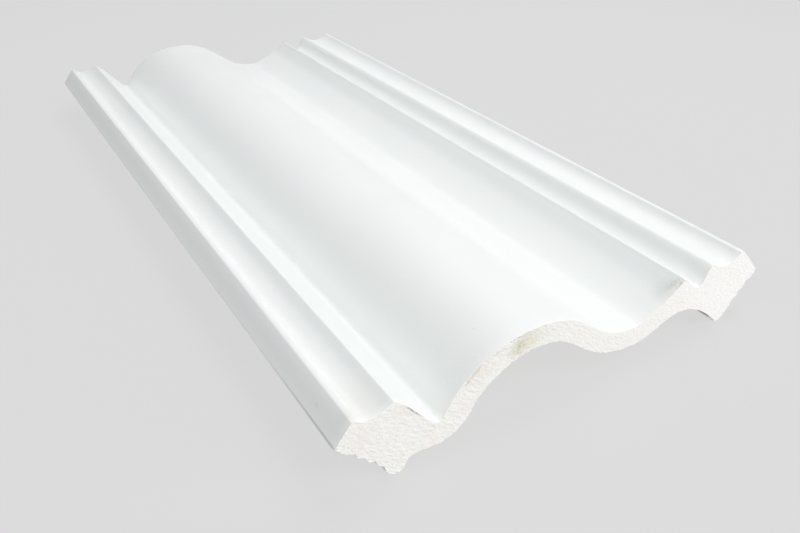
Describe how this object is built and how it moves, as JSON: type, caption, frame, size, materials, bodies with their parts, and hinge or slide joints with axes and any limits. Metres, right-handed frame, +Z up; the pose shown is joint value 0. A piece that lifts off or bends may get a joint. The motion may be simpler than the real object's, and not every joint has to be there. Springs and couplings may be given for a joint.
{
  "type": "cornice moulding",
  "caption": "Sawn length of white cast plaster cornice: ogee face with coves, a groove and a step, hollow back, and two keyed bearing faces square to each other.",
  "frame": {"origin": "on the bed under the middle of the piece, which lies face up on its two feet", "axes": "+X across the face from the edge with one cove to the edge with the groove and step, +Y along the moulding, +Z up out of the face"},
  "size_m": [0.22, 0.43, 0.0402],
  "materials": {
    "plaster": "white gypsum plaster, smooth satin face, raw sawn ends"
  },
  "bodies": {
    "root": {"plaster_cornice": "plaster"}
  },
  "joints": []
}
